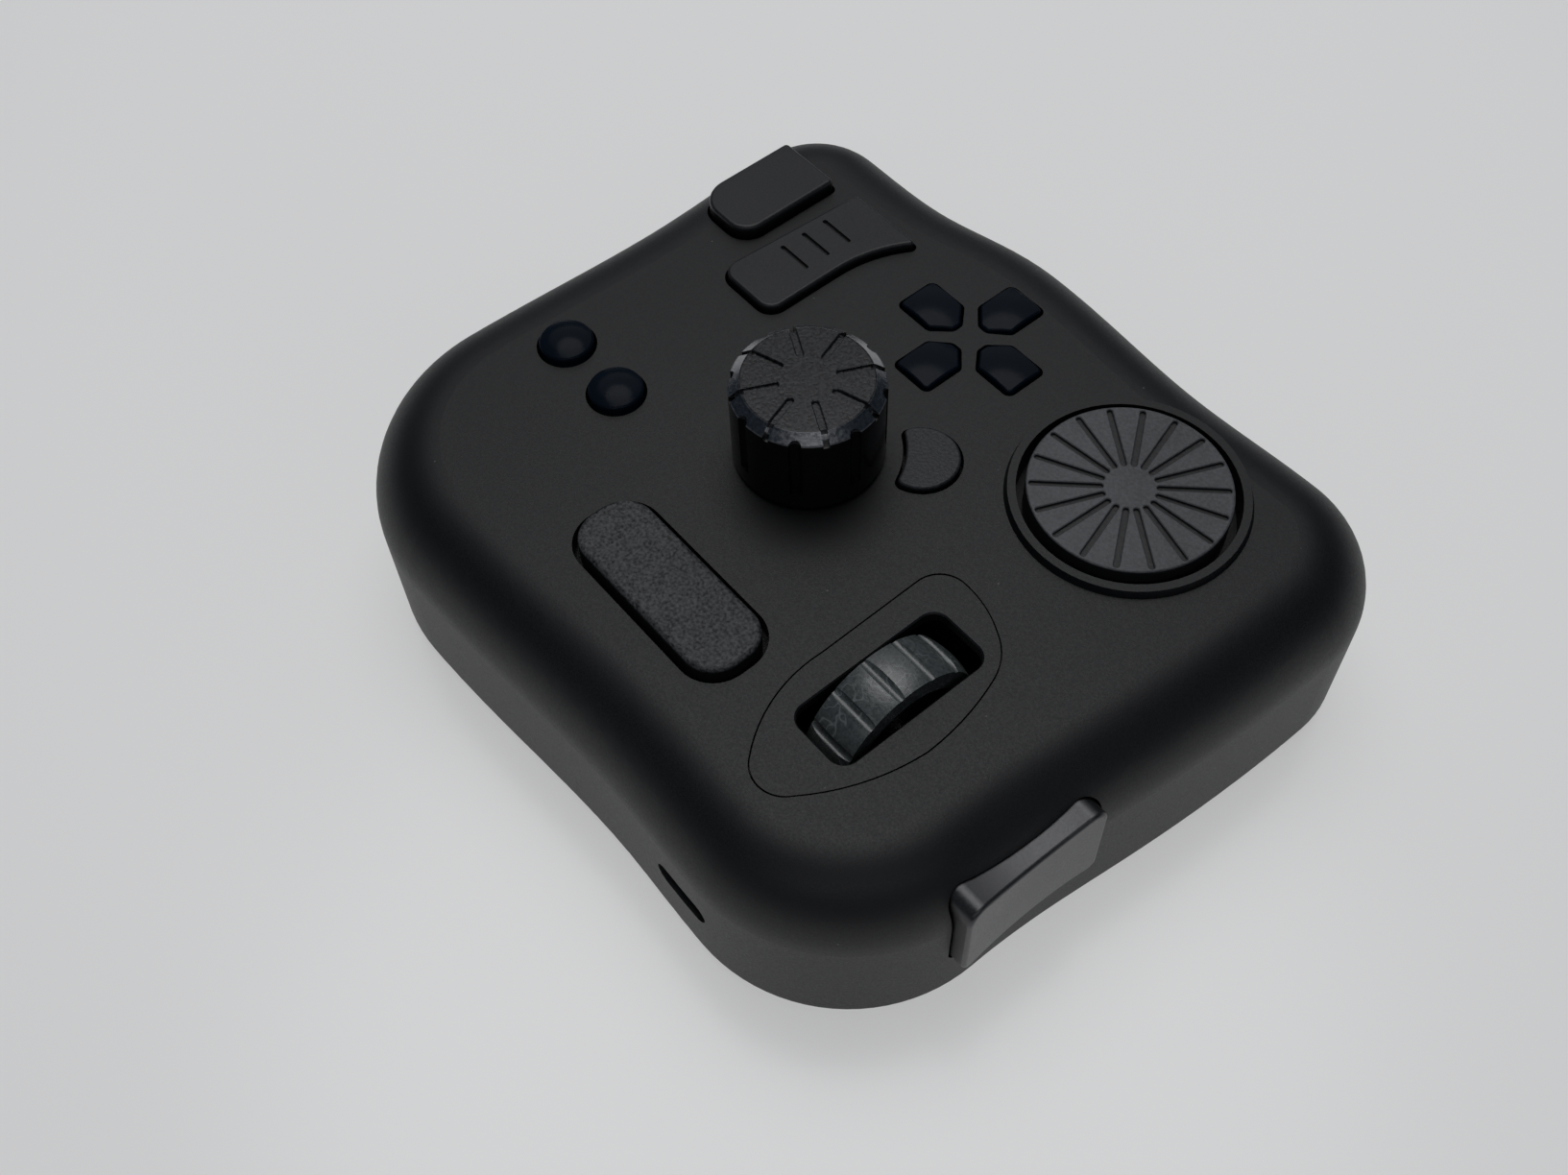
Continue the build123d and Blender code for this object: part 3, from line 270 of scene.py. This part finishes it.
# By material slot of the record
looks = {
    "shell_black": moulded(
        "soft_touch_black", (0.0014, 0.0018, 0.0028), rough=0.5, grain=0.3 * MM, depth=0.012 * MM,
        dust=0.12,
    ),
    "cover_black": moulded(
        "cover_black", (0.012, 0.012, 0.013), rough=0.6, grain=0.4 * MM, depth=0.02 * MM
    ),
    "foot_rubber": moulded(
        "foot_rubber", (0.015, 0.015, 0.015), rough=0.8, grain=0.2 * MM, depth=0.01 * MM
    ),
    "ballast_steel": metal("ballast_steel", (0.42, 0.42, 0.43), rough=0.45),
    "screw_steel": metal("screw_steel", (0.3, 0.3, 0.31), rough=0.35),
    "shaft_steel": metal("shaft_steel", (0.55, 0.55, 0.56), rough=0.25),
    "board_black": moulded(
        "board_black", (0.012, 0.014, 0.013), rough=0.35, grain=0.5 * MM, depth=0.002 * MM
    ),
    "switch_black": moulded(
        "switch_black", (0.01, 0.01, 0.011), rough=0.5, grain=0.2 * MM, depth=0.004 * MM
    ),
    "plunger_grey": moulded(
        "plunger_grey", (0.25, 0.25, 0.25), rough=0.5, grain=0.2 * MM, depth=0.004 * MM
    ),
    "chip_black": moulded(
        "chip_black", (0.012, 0.012, 0.013), rough=0.5, grain=0.1 * MM, depth=0.004 * MM
    ),
    "socket_metal": metal("socket_metal", (0.5, 0.5, 0.5), rough=0.3),
    "ribbon_amber": moulded(
        "ribbon_amber", (0.35, 0.14, 0.03), rough=0.4, grain=0.5 * MM, depth=0.001 * MM
    ),
    "pad_black": moulded(
        "pad_black", (0.005, 0.009, 0.016), rough=0.2, grain=0.4 * MM, depth=0.004 * MM, specular=0.08
    ),
    "paddle_grey": moulded(
        "paddle_grey", (0.09, 0.09, 0.093), rough=0.38, grain=0.3 * MM, depth=0.01 * MM,
        mottle=0.06, metallic=0.9,
    ),
    # Knob: its side below the rim is darkened as painted shade
    "knob_black": moulded(
        "knob_black", (0.018, 0.0185, 0.021), rough=0.22, grain=0.42 * MM, depth=0.028 * MM,
        mottle=0.8, specular=0.4, low=below_top("knob", KNOB_RIM_HEIGHT, 1.45 * MM),
        worn=(
            KNOB_TOP - KNOB_RIM_HEIGHT, KNOB_MIDDLE, KNOB_RADIUS - KNOB_RIM_WIDTH, (0.3, 0.302, 0.315)
        ),
    ),
    # Dial: groove floors and side darkened as painted shade
    "dial_grey": moulded(
        "dial_grey", (0.1, 0.101, 0.108), rough=0.45, grain=0.45 * MM, depth=0.04 * MM,
        mottle=0.25, specular=0.4, low=below_top("dial", 0.1 * MM, 0.25 * MM),
    ),
    "wheel_rubber": moulded(
        "wheel_rubber", (0.07, 0.08, 0.08), rough=0.34, grain=0.5 * MM, depth=0.03 * MM,
        mottle=0.3, specular=1.0, scuffed=(0.22, 0.24, 0.24),
    ),
    "hub_black": moulded(
        "hub_black", (0.004, 0.004, 0.0045), rough=0.5, grain=0.2 * MM, depth=0.004 * MM
    ),
    "cradle_black": moulded(
        "cradle_black", (0.004, 0.004, 0.0045), rough=0.5, grain=0.2 * MM, depth=0.004 * MM
    ),
}

# By node: the grey keys, which share a slot and differ in grain
own_looks = {
    # Pill and half-round keys: their sides are darkened as painted shade
    "pill_button": moulded(
        "pill_grain", (0.068, 0.069, 0.072), rough=0.45, grain=0.42 * MM, depth=0.1 * MM,
        mottle=0.8, specular=0.2, low=below_top("pill_button", 0.35 * MM, 0.7 * MM),
    ),
    "half_round_button": moulded(
        "half_round_grain", (0.03, 0.031, 0.035), rough=0.36, grain=0.42 * MM, depth=0.06 * MM,
        mottle=0.4, specular=0.3, low=below_top("half_round_button", 0.35 * MM, 0.7 * MM),
    ),
    "tall_button": key("tall_key", "tall_button"),
    "short_button": key("short_key", "short_button"),
}

for entry in frame["record"]["subparts"]:
    node = entry["node"]
    materials = nodes[node].data.materials
    materials.clear()
    materials.append(own_looks[node] if node in own_looks else looks[entry["material_slot"]])


# Floor, lights and camera

FLOOR_REACH = 3.0
FLOOR_CLOUDS = 0.2
FLOOR_DARK = (0.41, 0.41, 0.413)
FLOOR_LIGHT = (0.44, 0.44, 0.443)
FLOOR_GLOW = 0.43
LIGHT_AIM = Vector((0, 0, 0.02))
ROOM_COLOUR = (0.55, 0.75, 1.0, 1)
ROOM_STRENGTH = 0.05
BACKDROP_COLOUR = (0.45, 0.455, 0.46, 1)


def floor():
    mesh = bpy.data.meshes.new("floor")
    corners = [(-1, -1), (1, -1), (1, 1), (-1, 1)]
    mesh.from_pydata([(FLOOR_REACH * x, FLOOR_REACH * y, 0) for x, y in corners], [], [(0, 1, 2, 3)])
    plane = bpy.data.objects.new("floor", mesh)
    bpy.context.scene.collection.objects.link(plane)
    material, tree, shader = new_material("pale_table")
    cloud = noise(tree, FLOOR_CLOUDS)
    tree.links.new(shade(tree, cloud, FLOOR_DARK, FLOOR_LIGHT), shader.inputs["Base Color"])
    tree.links.new(spread(tree, cloud, low=0.2, high=0.26), shader.inputs["Roughness"])
    # Paleness that is seen, also in reflections, but lights nothing
    rays = tree.nodes.new("ShaderNodeLightPath").outputs
    seen = combine(tree, "MAXIMUM", rays["Is Camera Ray"], rays["Is Glossy Ray"])
    seen = combine(tree, "MAXIMUM", seen, rays["Is Transmission Ray"])
    glow = spread(tree, seen, low=0, high=FLOOR_GLOW, start=0, end=1)
    tree.links.new(glow, shader.inputs["Emission Strength"])
    shader.inputs["Emission Color"].default_value = (1.0, 1.0, 1.0, 1.0)
    material.cycles.emission_sampling = "NONE"
    plane.data.materials.append(material)


def softbox(name, location, size, power):
    lamp = bpy.data.lights.new(name, "AREA")
    lamp.shape = "ELLIPSE"
    lamp.size, lamp.size_y = size
    lamp.energy = power
    lamp_object = bpy.data.objects.new(name, lamp)
    lamp_object.location = location
    lamp_object.rotation_euler = (LIGHT_AIM - Vector(location)).to_track_quat("-Z", "Y").to_euler()
    bpy.context.scene.collection.objects.link(lamp_object)


def room():
    """Dim bluish room. Behind the floor's edge the camera sees a backdrop as pale as the floor there."""
    world = bpy.data.worlds.new("room")
    world.use_nodes = True
    tree = world.node_tree
    dim = tree.nodes["Background"]
    dim.inputs["Color"].default_value = ROOM_COLOUR
    dim.inputs["Strength"].default_value = ROOM_STRENGTH
    backdrop = tree.nodes.new("ShaderNodeBackground")
    backdrop.inputs["Color"].default_value = BACKDROP_COLOUR
    rays = tree.nodes.new("ShaderNodeLightPath")
    either = tree.nodes.new("ShaderNodeMixShader")
    tree.links.new(rays.outputs["Is Camera Ray"], either.inputs[0])
    tree.links.new(dim.outputs["Background"], either.inputs[1])
    tree.links.new(backdrop.outputs["Background"], either.inputs[2])
    tree.links.new(either.outputs["Shader"], tree.nodes["World Output"].inputs["Surface"])
    bpy.context.scene.world = world


floor()
softbox("far_softbox", (0.593, -0.459, 0.95), size=(1.5, 1.5), power=2.1)
softbox("overhead_softbox", (0.158, -0.122, 0.85), size=(0.7, 0.7), power=1.9)
softbox("near_strip", (-0.341, 0.264, 0.437), size=(1.0, 0.05), power=0.3)
room()

# The photograph's camera: focal length in pixels of the 1633 by 1224 frame, view angles and roll
PHOTO_WIDTH = 1633
FOCAL_PIXELS = 1792.26
SENSOR_WIDTH = 36.0
ELEVATION = math.radians(55.889)
AZIMUTH = math.radians(232.318)
ROLL = math.radians(-2.49)
TARGET = Vector((-4.005, 13.612, 20.0)) * MM
DISTANCE = 226.593 * MM
CLIP_START = 10 * MM

away = Vector((
    math.sin(AZIMUTH) * math.cos(ELEVATION),
    -math.cos(AZIMUTH) * math.cos(ELEVATION),
    math.sin(ELEVATION),
))
level = (-away).cross(Vector((0, 0, 1))).normalized()
upright = level.cross(-away)
right = level * math.cos(ROLL) + upright * math.sin(ROLL)
up = -level * math.sin(ROLL) + upright * math.cos(ROLL)
turn = Matrix((right, up, away)).transposed().to_4x4()
camera_data = bpy.data.cameras.new("photo_camera")
camera_data.sensor_width = SENSOR_WIDTH
camera_data.lens = FOCAL_PIXELS / PHOTO_WIDTH * SENSOR_WIDTH
camera_data.clip_start = CLIP_START
camera = bpy.data.objects.new("photo_camera", camera_data)
camera.matrix_world = Matrix.Translation(TARGET + away * DISTANCE) @ turn
bpy.context.scene.collection.objects.link(camera)
bpy.context.scene.camera = camera
bpy.context.scene.view_settings.view_transform = "Standard"
